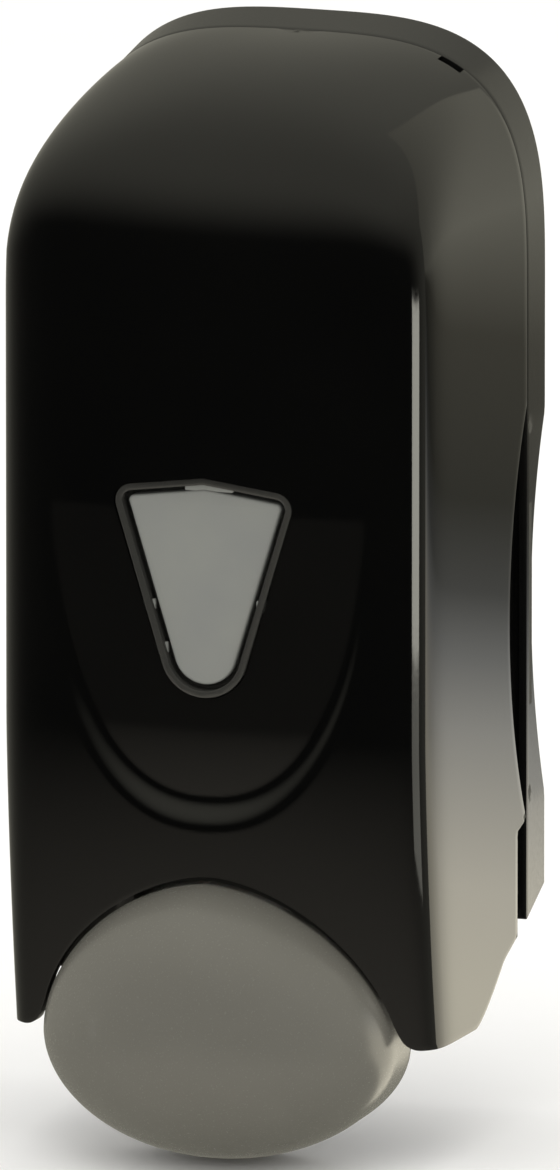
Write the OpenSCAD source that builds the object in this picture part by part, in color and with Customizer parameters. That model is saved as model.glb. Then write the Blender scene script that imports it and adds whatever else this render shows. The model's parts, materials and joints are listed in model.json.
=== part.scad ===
// Wall mounted foam soap dispenser with a hinged cover, a level window, a push
// button and a refillable reservoir with an inverted foam pump.
// X runs to the right, the wall is the plane y = 0 and the front faces -Y.
// Heights in this file are measured from the lowest point of the button, and
// the whole model is then lowered so that the origin is the middle of the four
// wall screws on the wall plane.

/* [Body] */
// Height from the lowest point of the button to the top of the back plate
total_h = 284; // [260:1:345]
// Width of the back plate
body_w = 122; // [112:1:150]
// Distance from the wall to the middle of the cover's front
body_d = 97; // [92:1:120]
// Height over which the outline rounds over into the top, in front view
crown_h = 67.5; // [55:0.5:75]
// Height over which the front curves back into the top, in side view
dome_h = 47; // [38:1:60]
// How far the front bulges between its two vertical edges
face_bulge = 9; // [4:0.5:12]
// How much each side leans in from the back edge to the front
side_draft = 3.5; // [1:0.5:5]
// How far the front falls back from the window to its bottom edge
chin_set_back = 10; // [4:0.5:12]

/* [Shell] */
// Wall of the cover
cover_wall = 2.5; // [2:0.1:3]
// Thickness of the plate on the wall
plate_t = 3; // [2.6:0.1:5]
// Depth of the rim round the back plate
rim_d = 15; // [12:0.5:18]
// Wall of the rim
rim_wall = 2.5; // [2:0.1:3.5]
// Thickness of the two cheeks that carry the cover
cheek_t = 2; // [1.6:0.1:2.4]
// Height of the front bottom corners above the lowest point of the button
tip_z = 31; // [28:1:36]
// Height of the bottom edge at the wall
heel_z = 59; // [56:1:62]
// Radius of the finger scallop in each back edge of the cover
scallop_r = 112; // [90:1:140]
// Depth of that scallop
scallop_d = 14; // [8:0.5:15]
// Height of the middle of the scallop
scallop_z = 133; // [120:1:150]
// Gap in depth behind the lower end of the cover's sides
heel_gap = 7; // [6:0.5:9]
// Height of the top of that gap
heel_gap_z = 78; // [72:1:84]
// Depth of the hand hold scooped out of each side of the rim
rim_scoop_d = 3.6; // [2:0.2:4.4]
// Radius of that hand hold
rim_scoop_r = 350; // [300:10:450]
// Width of the straight lip that the hand hold leaves at the front of the rim
rim_lip = 2; // [1.5:0.5:3]

/* [Window] */
// Half width between the centres of the window's upper corners
window_half_w = 19; // [15:0.5:24]
// Radius of the upper corners
window_top_r = 5; // [3.5:0.5:7]
// Radius of the lower end
window_low_r = 12; // [7:0.5:14]
// Height of the centres of the upper corners
window_top_z = 173; // [168:1:180]
// How much the top edge bows up between its corners
window_crown = 2.5; // [0.5:0.5:3]
// Height of the centre of the lower end
window_low_z = 134.5; // [128:0.5:142]
// Half width of the shallow scoop round the window
scoop_half_w = 42; // [36:1:46]
// Height of the lowest point of the scoop's floor
scoop_low_z = 96; // [92:1:104]
// Height at which the scoop runs out
scoop_top_z = 172; // [166:1:178]
// Slope of the scoop's floor
scoop_slope = 3; // [2:0.5:3.5]

/* [Button] */
// Half width of the button
button_half_w = 46.8; // [42:0.2:48]
// How far the button stands out of the cover's front
button_bulge = 31; // [24:1:34]
// Wall of the button
button_wall = 2.2; // [1.8:0.1:2.8]
// Depth of the skirt behind the button's edge
skirt_d = 13; // [9:1:14]
// Gap between the button and the cover
button_gap = 1.2; // [0.8:0.1:2]
// Height of the highest point of the opening for the button
arch_top_z = 75; // [70:1:77]
// Radius of the pin that the button turns on
button_pin_r = 1.5; // [1.2:0.1:2]
// Height of that pin
button_pin_z = 84; // [82:1:88]
// Distance of that pin behind the middle of the front
button_pin_in = 19; // [17:0.5:22]

/* [Reservoir] */
// Height of the shelf's upper face, which the bottle stands on
shelf_z = 106; // [104:1:112]
// Thickness of the shelf
shelf_t = 3; // [2.5:0.5:4]
// Wall of the bottle
bottle_wall = 1.4; // [1:0.1:2]
// Radius of the bottle's upright edges
bottle_edge_r = 8; // [8:1:16]
// Radius of the filler cap
cap_r = 19; // [16:0.5:19.5]
// Height of the filler cap
cap_h = 10; // [8:0.5:12]

/* [Pump] */
// Distance of the pump's axis from the wall
pump_y = 50; // [46:1:52]
// Radius of the bottle's lower neck
neck_r = 16; // [15:0.5:18]
// Wall of that neck
neck_wall = 2; // [1.6:0.1:2.4]
// Radius of the bore of the pump's cylinder
pump_bore_r = 10.5; // [9:0.1:11]
// Radius of the stem
stem_r = 5; // [4:0.1:5.5]
// Radius of the nozzle
nozzle_r = 7.5; // [6.5:0.1:8]
// Radius of the flange that the fork lifts
flange_r = 13; // [12.5:0.5:15]
// Travel of the pump
pump_stroke = 7.8; // [6:0.1:8]
// Diameter of the pump spring's wire
spring_wire = 1; // [0.8:0.1:1.2]

/* [Fits] */
// Radial clearance of a pin in its bore
pin_gap = 0.06; // [0.03:0.01:0.1]
// Clearance between faces that pass each other
face_gap = 0.4; // [0.3:0.1:0.6]
// Radius of the hinge stubs on the cover
hinge_r = 2.5; // [2:0.1:3]
// Distance of the hinge from the wall
hinge_y = 27; // [26:0.5:28]
// Height of the hinge
hinge_z = 58; // [57:0.5:60]

/* [Wall screws] */
// Radius of the holes for the wall screws
wall_hole_r = 2.5; // [2:0.1:3]
// Distance between the two columns of holes
wall_hole_dx = 60; // [50:1:64]
// Distance between the two rows of holes
wall_hole_dz = 100; // [84:1:104]
// Height of the middle of the pattern
wall_hole_z = 165; // [160:1:170]

/* [Hidden] */

$fn = 48;
ROUND = 32;               // facets of what a hull is drawn round
FAR = 400;                // reaches past the whole object
EPS = 0.01;

// Exponents of the rounded outlines: 2 is an ellipse and more is squarer
CROWN_POWER = 3.3;
DOME_POWER = 2.3;
EDGE_POWER = 20;          // plan of the lower cover, with tight front edges
TOP_POWER = 2.4;          // plan of the cover at its very top
ARCH_POWER = 1.75;        // the opening for the button

half_w = body_w / 2;
seam_y = rim_d + 0.3;     // back edge of the cover
seam_top = total_h - 2.5; // the top falls this much across the rim
crown_z = total_h - crown_h;
EDGE_RISE = 18;           // the front edges stay sharp up to this far above the crown

// Bottom edge of the body in side view, as [distance from the wall, height]
mid_edge = [31, 45];
flat_edge_y = 52;

// ---------------------------------------------------------------- outlines

// Height of a rounded-over outline as a share of its full size
function over(s, power) = pow(max(0, 1 - pow(max(0, min(1, s)), power)), 1 / power);

// Half width of the body at height z, made smaller all round by inset
function half_width(z, inset, top) =
    (half_w - inset) * over((z - crown_z) / (top - inset - crown_z), CROWN_POWER);

// Distance of the front from the wall at height z, on the centre line
function front_depth(z, inset) =
    let (start = seam_top - dome_h,
         chin = chin_set_back * pow(max(0, (window_low_z - 20 - z) / (window_low_z - 20 - tip_z)), 1.5))
    seam_y + (body_d - inset - seam_y) * over((z - start) / (dome_h - inset), DOME_POWER) - chin;

// Squareness of the plan at height z
function plan_power(z, inset) =
    let (start = crown_z + EDGE_RISE,
         s = max(0, min(1, (z - start) / (seam_top - inset - start))))
    TOP_POWER + (EDGE_POWER - TOP_POWER) * pow(1 - s, 2);

// Point of the cover's plan at height z, in the direction a from the back
// edge (0) round the front (90) to the other back edge (180)
function cover_point(a, z, inset) =
    let (n = plan_power(z, inset),
         r = pow(pow(abs(cos(a)), n) + pow(abs(sin(a)), n), -1 / n),
         w = half_width(z, inset, seam_top) - side_draft * r * sin(a),
         d = front_depth(z, inset) - seam_y,
         bulge = face_bulge * d / (body_d - seam_y))
    [w * r * cos(a), -(seam_y + max(0, d - bulge * pow(r * cos(a), 2)) * r * sin(a)), z];

// Distance of the front from the wall at any point of it
function face_y(x, z) = -(front_depth(z, 0) - face_bulge * pow(x / half_w, 2));

// Outline of the back plate with its round top, at depth y
function plate_outline(y, top, inset, low) =
    [for (p = concat([[half_w - inset, low]],
                     [for (z = crown_rows(top - inset)) [half_width(z, inset, top), z]],
                     [for (z = reverse(crown_rows(top - inset))) [-half_width(z, inset, top), z]],
                     [[-(half_w - inset), low]]))
        [p[0], -y, p[1]]];

function reverse(v) = [for (i = [len(v) - 1:-1:0]) v[i]];

// Heights at which the round top is drawn, closer together near the top
CROWN_STEPS = 12;
function crown_rows(top) =
    [for (k = [0:CROWN_STEPS - 1])
        let (turn = 90 * (k + 0.7 * k / CROWN_STEPS) / CROWN_STEPS)
        crown_z + (top - crown_z) * pow(sin(turn), 2 / CROWN_POWER)];

// Directions at which the cover's plan is drawn, closer at the front edges
PLAN_ANGLES = [0, 30, 41, 44, 45, 46, 49, 56, 67, 79];
plan_angles = concat(PLAN_ANGLES, [90], [for (a = reverse(PLAN_ANGLES)) 180 - a]);

// ------------------------------------------------------------ basic shapes

// Closed solid through a list of rings with equally many points each
module loft(rings) {
    n = len(rings[0]);
    m = len(rings);
    points = [for (r = rings) each r];
    skin = [for (j = [0:m - 2]) for (i = [0:n - 1])
        let (a = j * n + i, b = j * n + (i + 1) % n)
        each [[a, b, b + n], [a, b + n, a + n]]];
    caps = [[for (i = [n - 1:-1:0]) i], [for (i = [0:n - 1]) (m - 1) * n + i]];
    polyhedron(points, concat(skin, caps));
}

// Cylinder from the point p along an axis
module rod_x(p, r, len, facets = $fn) {
    translate(p) rotate([0, 90, 0]) cylinder(r = r, h = len, $fn = facets);
}
module rod_y(p, r, len) { translate(p) rotate([-90, 0, 0]) cylinder(r = r, h = len); }
module rod_z(p, r, len) { translate(p) cylinder(r = r, h = len); }

// Ring about the pump's axis between two radii, standing on height z
module pump_ring(r_out, r_in, z, h) {
    translate([0, -pump_y, z]) rotate_extrude() translate([r_in, 0]) square([r_out - r_in, h]);
}

// Box between two corners
module block(a, b) { translate(a) cube(b - a); }

// Round wire wound about the Z axis
module coil(radius, wire, height, turns, sides = 6, steps = 12) {
    n = turns * steps;
    rings = [for (k = [0:n])
        let (a = 360 * k / steps, z = wire / 2 + (height - wire) * k / n)
        [for (j = [0:sides - 1])
            let (b = -360 * j / sides, r = radius + wire / 2 * cos(b))
            [r * cos(a), r * sin(a), z + wire / 2 * sin(b)]]];
    loft(rings);
}

// The mirror image in the plane x = 0 as well as the shape itself
module both() { children(); mirror([1, 0, 0]) children(); }

// Everything is drawn from the lowest point up, and then lowered into place
module seated() { translate([0, 0, -wall_hole_z]) children(); }

// ------------------------------------------------------------------- cover

cover_rows = concat([-20, tip_z, 58, 80, 100, crown_z - 90, crown_z - 30], crown_rows(seam_top));
inner_rows = concat([-30, tip_z, 58, 80, 100, crown_z - 90, crown_z - 30],
                    crown_rows(seam_top - cover_wall));

module cover_outside() {
    loft([for (z = cover_rows) [for (a = plan_angles) cover_point(a, z, 0)]]);
}

// The hollow runs back past the cover's edge
module cover_inside() {
    loft([for (z = inner_rows)
        let (ring = [for (a = plan_angles) cover_point(a, z, cover_wall)])
        concat([ring[0] + [0, 6, 0]], ring, [ring[len(ring) - 1] + [0, 6, 0]])]);
}

// What lies under the body's bottom edge, in side view
module below_edge(lift = 0) {
    edge = [[20, heel_z + 20 * (heel_z - mid_edge[1]) / mid_edge[0]],
            [-mid_edge[0], mid_edge[1]],
            [-mid_edge[0] - 7, mid_edge[1] - 6],
            [-mid_edge[0] - 12, mid_edge[1] - 10.5],
            [-mid_edge[0] - 16, mid_edge[1] - 13],
            [-flat_edge_y, tip_z], [-FAR, tip_z], [-FAR, -FAR], [20, -FAR]];
    translate([-FAR / 2, 0, lift]) rotate([90, 0, 90]) linear_extrude(FAR) polygon(edge);
}

// Upper outline of the opening for the button, gap inside the opening's edge
module arch(gap) {
    a = button_half_w + button_gap - gap;
    h = arch_top_z - tip_z - gap;
    translate([0, 0, tip_z]) rotate([90, 0, 0]) linear_extrude(FAR / 2)
        polygon(concat([[-a, -FAR], [a, -FAR]],
            [for (k = [0:24]) let (t = 180 * k / 24)
                [a * sign(cos(t)) * pow(abs(cos(t)), 2 / ARCH_POWER), h * pow(sin(t), 2 / ARCH_POWER)]]));
}

// Outline of the window, grown by grow, between two depths
module window_block(grow, y_front, y_back) {
    translate([0, -y_back, 0]) rotate([90, 0, 0]) linear_extrude(y_front - y_back)
        hull() {
            for (s = [-1, 1]) translate([s * window_half_w, window_top_z])
                circle(r = window_top_r + grow, $fn = ROUND);
            translate([0, window_top_z + window_crown]) circle(r = window_top_r + grow, $fn = ROUND);
            translate([0, window_low_z]) circle(r = window_low_r + grow, $fn = ROUND);
        }
}

// Shallow scoop round the window, its floor as curved as the front
module scoop() {
    steps = 16;
    floor_w = scoop_half_w + 6;
    low = scoop_top_z - scoop_low_z;
    intersection() {
        translate([0, 0, scoop_top_z]) rotate([90, 0, 0]) linear_extrude(FAR / 2)
            polygon([for (k = [0:40]) let (a = 180 + 180 * k / 40)
                [(scoop_half_w + 1) * cos(a), (low + 4) * sin(a)]]);
        translate([0, -body_d, scoop_top_z]) rotate([scoop_slope, 0, 0]) translate([0, 0, -FAR / 2])
            linear_extrude(FAR / 2)
                polygon(concat([for (i = [-steps:steps]) let (x = floor_w * i / steps)
                                   [x, face_bulge * pow(x / half_w, 2)]],
                               [[floor_w, -30], [-floor_w, -30]]));
    }
}

lens_back = body_d - 6.5;          // flat back of the window's frame
lens_front = body_d - 3;
retainer_t = 1.6;
lens_flange = 3;
lens_flange_t = 1.5;
screw_r = 1.1;

// Screws of the lens retainer, on the window's frame
retainer_points = [[-window_half_w - 9.5, window_top_z], [window_half_w + 9.5, window_top_z],
                   [-window_low_r - 5.5, window_low_z - 7], [window_low_r + 5.5, window_low_z - 7]];

lug_x = 30;                         // inner face of the lugs that hold the pin
lug_t = 4;
pin_y = body_d - button_pin_in;
lug_r = 5.5;

// The cover's catch that the bolt enters, and the bolt
bolt_z = 268;
bolt = [5, 5];                      // depth and height
bolt_y = 15;
bolt_len = 36;
catch_t = 3;
catch_x = -6;
catch_reach = 7;                    // how far the catch runs along the inside of the cover
catch_rim = 2.5;                    // what it leaves below and above the bolt's hole
lock_top = total_h - 284 + bolt_z;  // height of the bolt's lower face

notch_x = 41;
notch = [6, 3.5];                   // width and depth of the release notch

module cover() {
    color([0.02, 0.02, 0.02]) difference() {
        union() {
            difference() {
                cover_outside();
                cover_inside();
            }
            intersection() {
                cover_outside();
                union() {
                    window_block(7, FAR / 2, lens_back);
                    both() block([window_half_w, -FAR / 2, window_top_z - 5],
                                 [window_half_w + 13, -lens_back, window_top_z + 5]);
                    both() block([window_low_r - 2, -FAR / 2, window_low_z - 11.5],
                                 [window_low_r + 9.5, -lens_back, window_low_z - 2.5]);
                    both() block([lug_x, -FAR / 2, button_pin_z - lug_r],
                                 [lug_x + lug_t, -pin_y, button_pin_z + lug_r]);
                }
            }
            both() rod_x([lug_x, -pin_y, button_pin_z], lug_r, lug_t);
            both() rod_x([cheek_inner - 1, -hinge_y, hinge_z], hinge_r,
                         half_w - 2.5 - (cheek_inner - 1));
            intersection() {
                cover_outside_back();
                for (b = [[-seam_y, total_h], [-bolt_y + bolt[0], seam_top - rim_wall - 2 * face_gap]])
                    block([catch_x, -seam_y - catch_reach, lock_top - catch_rim],
                          [catch_x + catch_t, b[0], b[1]]);
            }
        }
        below_edge();
        arch(0);
        scoop();
        window_block(0, FAR / 2, 0);
        scallops();
        heel_gap_cut();
        both() rod_x([lug_x - 1, -pin_y, button_pin_z], button_pin_r, lug_t + 2);
        block([catch_x - 1, -bolt_y - bolt[0] / 2 - face_gap, lock_top - face_gap],
              [catch_x + catch_t + 1, -bolt_y + bolt[0] / 2 + face_gap, lock_top + bolt[1] + face_gap]);
        block([notch_x - notch[0] / 2, -seam_y - notch[1], seam_top - 20],
              [notch_x + notch[0] / 2, 0, total_h]);
        for (p = retainer_points) rod_y([p[0], -lens_back - 3, p[1]], screw_r, 5);
    }
}

// The inside of the top, run back behind the cover's edge for the catch
module cover_outside_back() {
    loft([for (z = cover_rows)
        let (ring = [for (a = plan_angles) cover_point(a, z, cover_wall / 2)])
        concat([ring[0] + [0, 6, 0]], ring, [ring[len(ring) - 1] + [0, 6, 0]])]);
}

module scallops() {
    translate([-FAR / 2, -seam_y - scallop_d + scallop_r, scallop_z]) rotate([0, 90, 0])
        cylinder(r = scallop_r, h = FAR, $fn = 96);
}

module heel_gap_cut() {
    block([-FAR / 2, -seam_y - heel_gap, -FAR], [FAR / 2, 1, heel_gap_z]);
}

// -------------------------------------------------------------- back plate

cheek_outer = half_w - cover_wall - side_draft * (hinge_y - seam_y + 12) / (body_d - seam_y) - 0.6;
cheek_inner = cheek_outer - cheek_t;
cheek_front = 36;
cheek_low = 53;
cheek_high = 200;
grip_h = 112;                       // height of the solid block behind each hand hold
pad = [14, 90, 1];                  // width, height and thickness
pad_gap = 0.3;
pad_x = 43;
shelf_flange_h = 24;
shelf_half_w = half_w - 11;
shelf_screw_r = 1.5;
shelf_screws_at = [for (x = [-34, 34]) for (z = [shelf_z - 9, shelf_z - 20]) [x, z]];
guide_x = [8, 24];
guide_t = 5;

module plate_body(inset, y0, y1, low) {
    loft([plate_outline(y1, seam_top, inset, low), plate_outline(y0, total_h, inset, low)]);
}

module back_plate() {
    color([0.06, 0.06, 0.06]) difference() {
        union() {
            difference() {
                plate_body(0, 0, rim_d, 20);
                difference() {
                    plate_body(rim_wall, plate_t, rim_d + 1, 10);
                    below_edge(rim_wall);
                }
            }
            both() block([cheek_inner - 1, -rim_d + rim_lip, scallop_z - grip_h / 2],
                         [half_w - 1, -plate_t + 1, scallop_z + grip_h / 2]);
            both() block([cheek_inner, -cheek_front, cheek_low],
                         [cheek_outer, -plate_t + 1, cheek_high]);
            for (x = guide_x) block([x, -bolt_y - bolt[0] / 2 - 2.5, lock_top - 2.5],
                                    [x + guide_t, -plate_t + 1, lock_top + bolt[1] + 1.5]);
        }
        below_edge();
        both() translate([half_w - rim_scoop_d + rim_scoop_r, 1, scallop_z]) rotate([90, 0, 0])
            cylinder(r = rim_scoop_r, h = rim_d - rim_lip + 1, $fn = 192);
        both() rod_x([cheek_inner - 1, -hinge_y, hinge_z], hinge_r + pin_gap, cheek_t + 2);
        for (x = [-1, 1]) for (z = [-1, 1])
            rod_y([x * wall_hole_dx / 2, -plate_t - 1, wall_hole_z + z * wall_hole_dz / 2],
                  wall_hole_r, plate_t + 2);
        both() block([pad_x - pad[0] / 2 - pad_gap, -pad[2], wall_hole_z - pad[1] / 2 - pad_gap],
                     [pad_x + pad[0] / 2 + pad_gap, 1, wall_hole_z + pad[1] / 2 + pad_gap]);
        for (p = shelf_screws_at) rod_y([p[0], -plate_t - 1, p[1]], shelf_screw_r, plate_t);
        block([guide_x[0] - 1, -bolt_y - bolt[0] / 2 - 0.1, lock_top - 0.1],
              [guide_x[1] + guide_t + 1, -bolt_y + bolt[0] / 2 + 0.1, lock_top + bolt[1] + 0.1]);
    }
}

module wall_pads() {
    color("dimgray") both()
        block([pad_x - pad[0] / 2, -pad[2], wall_hole_z - pad[1] / 2],
              [pad_x + pad[0] / 2, 0, wall_hole_z + pad[1] / 2]);
}

module lock_bolt() {
    color("gainsboro") {
        block([0, -bolt_y - bolt[0] / 2, lock_top], [bolt_len, -bolt_y + bolt[0] / 2, lock_top + bolt[1]]);
        block([guide_x[0] + guide_t + 9.5, -bolt_y - bolt[0] / 2 - 4, lock_top],
              [guide_x[0] + guide_t + 10.9, -bolt_y, lock_top + bolt[1]]);
    }
}

// ------------------------------------------------------------------ window

module window_lens() {
    color([0.6, 0.6, 0.58, 0.6]) {
        window_block(-0.3, lens_front, lens_back - EPS);
        window_block(lens_flange, lens_back, lens_back - lens_flange_t);
    }
}

module lens_retainer() {
    back = lens_back - lens_flange_t;
    color([0.08, 0.08, 0.08]) difference() {
        union() {
            window_block(lens_flange + 2, back, back - retainer_t);
            for (p = retainer_points) rod_y([p[0], -lens_back, p[1]], 3, lens_flange_t + retainer_t);
            both() block([window_half_w + 3, -back, window_top_z - 3],
                         [window_half_w + 9.5, -back + retainer_t, window_top_z + 3]);
            both() block([window_low_r - 1, -back, window_low_z - 10],
                         [window_low_r + 5.5, -back + retainer_t, window_low_z - 4]);
        }
        window_block(-1, FAR / 2, 0);
        window_block(lens_flange + 0.2, FAR / 2, back);
        for (p = retainer_points) rod_y([p[0], -lens_back - 1, p[1]], screw_r, 6);
    }
}

module retainer_screws() {
    back = lens_back - lens_flange_t - retainer_t;
    color("silver") for (p = retainer_points) {
        rod_y([p[0], -lens_back - 2.8, p[1]], screw_r, 2.8 + lens_back - back);
        rod_y([p[0], -back, p[1]], 2, 1.2);
    }
}

// ------------------------------------------------------------------ button

BUTTON_STEPS = 28;                  // points round the button's outline
BUTTON_RINGS = 7;

// Point of the button's outline in direction t, shrunk to a share s
function button_xz(t, s, inset) =
    let (c = cos(t), n = sin(t),
         up = arch_top_z - button_gap - tip_z - inset,
         down = tip_z - inset,
         power = n > 0 ? 2 / ARCH_POWER : 1)
    [s * (button_half_w - inset) * sign(c) * pow(abs(c), power),
     tip_z + s * (n > 0 ? up * pow(n, power) : down * n)];

// Ring of the dome, b from 0 at its edge to 90 at its nose
function button_ring(b, inset, back) =
    [for (i = [0:BUTTON_STEPS - 1])
        let (p = button_xz(180 - 360 * i / BUTTON_STEPS, cos(b), inset))
        [p[0], face_y(p[0], p[1]) + 1.5 + inset - button_bulge * sin(b) + back, p[1]]];

module button_solid(inset, back) {
    loft(concat([button_ring(0, inset, back)],
                [for (k = [0:BUTTON_RINGS]) button_ring(86 * k / BUTTON_RINGS, inset, 0)]));
}

arm_x = 22;                         // inner face of the button's arms
arm_t = 5;
flange_z = 70;                      // lower face of the nozzle's flange
bump_r = 2;
bump_z = flange_z - face_gap - bump_r;
fork_t = 3;
fork_z = bump_z - 4;                // lower face of the fork
fork_screw_r = 1.1;
fork_head_r = 2.1;
fork_end = pump_y - 5;
tine_x = nozzle_r + 1.5;
tine_t = 4;
arm_back = pin_y - 6;
fork_bar = 8;                       // depth of the fork's cross bar
fork_screws_at = [for (s = [-1, 1]) [s * (arm_x + arm_t / 2), -(pin_y - 1)]];

module push_button() {
    color([0.42, 0.41, 0.38]) difference() {
        union() {
            difference() {
                button_solid(0, skirt_d);
                button_solid(button_wall, skirt_d + 5);
            }
            both() hull() {
                rod_x([arm_x, -pin_y, button_pin_z], 5, arm_t, ROUND);
                block([arm_x, -pin_y - 7, fork_z], [arm_x + arm_t, -arm_back, fork_z + fork_t + 2]);
            }
            intersection() {
                button_solid(button_wall / 2, skirt_d);
                both() block([arm_x, -pin_y - 26, 48],
                             [arm_x + arm_t, -arm_back - fork_bar - 1, fork_z + fork_t + 2]);
            }
        }
        both() rod_x([arm_x - 1, -pin_y, button_pin_z], button_pin_r + pin_gap, arm_t + 2);
        block([-arm_x - arm_t - 1, -arm_back - fork_bar, fork_z],
              [arm_x + arm_t + 1, 0, fork_z + fork_t]);
        for (p = fork_screws_at) {
            rod_z([p[0], p[1], fork_z - 1], fork_screw_r, fork_t + 9);
            rod_z([p[0], p[1], fork_z - 12], fork_head_r + face_gap, 12);
        }
    }
}

module button_pin() {
    color("silver") rod_x([-lug_x - lug_t, -pin_y, button_pin_z], button_pin_r, 2 * (lug_x + lug_t));
}

module button_spring() {
    color("silver") translate([-9, -pin_y, button_pin_z]) rotate([0, 90, 0]) coil(3, 0.9, 18, 9);
}

// The fork passes through the button's arms and reaches under the flange
module lift_fork() {
    color("gainsboro") difference() {
        union() {
            block([-arm_x - arm_t, -arm_back - fork_bar, fork_z],
                  [arm_x + arm_t, -arm_back, fork_z + fork_t]);
            both() block([tine_x, -arm_back - 3, fork_z], [tine_x + tine_t, -fork_end, fork_z + fork_t]);
            both() rod_x([tine_x, -pump_y, bump_z], bump_r, tine_t);
            both() block([tine_x, -pump_y - 1.5, fork_z + 1], [tine_x + tine_t, -pump_y + 1.5, bump_z]);
        }
        for (p = fork_screws_at) rod_z([p[0], p[1], fork_z - 1], fork_screw_r, fork_t + 2);
    }
}

module fork_screws() {
    color("silver") for (p = fork_screws_at) {
        rod_z([p[0], p[1], fork_z], fork_screw_r, fork_t + 6);
        rod_z([p[0], p[1], fork_z - 1.2], fork_head_r, 1.2);
    }
}

// --------------------------------------------------------------- reservoir

bottle_half_w = half_w - 14;
bottle_back = 12;
bottle_front = body_d - 21;
bottle_top = total_h - 40;
filler_r = cap_r - 3;
filler_wall = 2;
filler_top = bottle_top + 7;
filler_y = bottle_front - cap_r - 11;
nut_r = neck_r + 5;
neck_low = shelf_z - 14;

shelf_lip = 2.4;                    // how far the shelf stands out in front of the bottle
shelf_fence_h = 8;                  // height of the fence on each side of the bottle's foot
shelf_fence_back = 12;              // how far the fence ends behind the bottle's front
shelf_rib_t = 2.5;
shelf_rib_h = 20;
shelf_screw_head = [3, 2];          // radius and height

module pump_shelf() {
    color([0.75, 0.75, 0.72]) difference() {
        union() {
            block([-shelf_half_w, -bottle_front - shelf_lip, shelf_z - shelf_t],
                  [shelf_half_w, -plate_t, shelf_z]);
            block([-shelf_half_w, -plate_t - shelf_t, shelf_z - shelf_flange_h],
                  [shelf_half_w, -plate_t, shelf_z]);
            both() block([bottle_half_w + face_gap, -bottle_front + shelf_fence_back, shelf_z - 1],
                         [shelf_half_w, -plate_t, shelf_z + shelf_fence_h]);
            both() translate([shelf_half_w, 0, shelf_z - shelf_t]) rotate([90, 0, -90])
                linear_extrude(shelf_rib_t)
                    polygon([[plate_t + 2, 0.5], [plate_t + 2, -shelf_rib_h], [plate_t + 6, -shelf_rib_h],
                             [bottle_front - 16, 0.5]]);
        }
        rod_z([0, -pump_y, shelf_z - 10], nut_r + 3 * face_gap, 20);
        for (p = shelf_screws_at)
            rod_y([p[0], -plate_t - shelf_t - 1, p[1]], shelf_screw_r + 0.2, shelf_t + 2);
    }
}

module shelf_screws() {
    color("silver") for (p = shelf_screws_at) {
        rod_y([p[0], -plate_t - shelf_t, p[1]], shelf_screw_r, plate_t + shelf_t - 1);
        rod_y([p[0], -plate_t - shelf_t - shelf_screw_head[1], p[1]],
              shelf_screw_head[0], shelf_screw_head[1]);
    }
}

// Upright rounded block, from one height to another
module tank(inset, low, high) {
    w = bottle_half_w - bottle_edge_r;
    r = bottle_edge_r - inset;
    top_r = 9;
    hull() for (x = [-w, w]) for (y = [-bottle_back - bottle_edge_r, -bottle_front + bottle_edge_r])
        translate([x, y, 0]) {
            translate([0, 0, low + 3]) cylinder(r = r, h = high - low - top_r - 3, $fn = ROUND);
            translate([0, 0, low]) cylinder(r = r - 3, h = 3, $fn = ROUND);
            translate([0, 0, high - top_r * 0.4]) cylinder(r = r - top_r * 0.5, h = top_r * 0.4, $fn = ROUND);
        }
}

module bottle() {
    color([0.92, 0.92, 0.9, 0.7]) difference() {
        union() {
            tank(0, shelf_z, bottle_top);
            rod_z([0, -pump_y, neck_low], neck_r, shelf_z - neck_low + 2);
        }
        tank(bottle_wall, shelf_z + bottle_wall, bottle_top - bottle_wall);
        rod_z([0, -pump_y, neck_low - 1], neck_r - neck_wall, 20);
        rod_z([0, -filler_y, bottle_top - 4], filler_r, 8);
    }
}

// Threaded neck welded into the top of the bottle, with a flange inside it
module filler_neck() {
    flange = [2, 1];                // how far it stands out, and its thickness
    low = bottle_top - bottle_wall - flange[1];
    color("whitesmoke") translate([0, -filler_y, 0]) rotate_extrude() {
        translate([filler_r - filler_wall, low]) square([filler_wall, filler_top - low]);
        translate([filler_r - filler_wall, low]) square([filler_wall + flange[0], flange[1]]);
    }
}

module filler_cap() {
    color("whitesmoke") difference() {
        union() {
            rod_z([0, -filler_y, filler_top + 1.4 - cap_h + 2], cap_r, cap_h);
            block([-cap_r + 4, -filler_y - 1.5, filler_top], [cap_r - 4, -filler_y + 1.5, filler_top + 6]);
        }
        rod_z([0, -filler_y, filler_top + 1.4 - cap_h], filler_r + face_gap, cap_h);
    }
}

module cap_seal() {
    color("dimgray") translate([0, -filler_y, filler_top]) rotate_extrude()
        translate([filler_r - 1.9, 0]) square([1.8, 1.4]);
}

// -------------------------------------------------------------------- pump

// From the neck down: gasket, cylinder flange, nut; the piston and stem slide
gasket_t = 1;
cyl_flange_t = 2;
cyl_flange_z = neck_low - gasket_t - cyl_flange_t;
nut_low = cyl_flange_z - 2.5;
piston_z = cyl_flange_z + 4;
piston_h = 8;
spring_pressed = 15.2;              // height of the pump spring at the end of the stroke
cyl_top = piston_z + piston_h + pump_stroke + spring_pressed;

module pump_nut() {
    color("whitesmoke") difference() {
        union() {
            pump_ring(nut_r, neck_r + 0.2, nut_low, shelf_z - shelf_t - 1 - nut_low);
            pump_ring(nut_r, pump_bore_r + 1, nut_low, 2.5);
        }
        for (a = [0:15:345]) translate([0, -pump_y, nut_low + 1.5]) rotate([0, 0, a])
            translate([nut_r, 0, 0]) cylinder(r = 0.7, h = 20, $fn = 16);
    }
}

module pump_gasket() {
    color("dimgray") pump_ring(neck_r, pump_bore_r + 2, neck_low - gasket_t, gasket_t);
}

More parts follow.
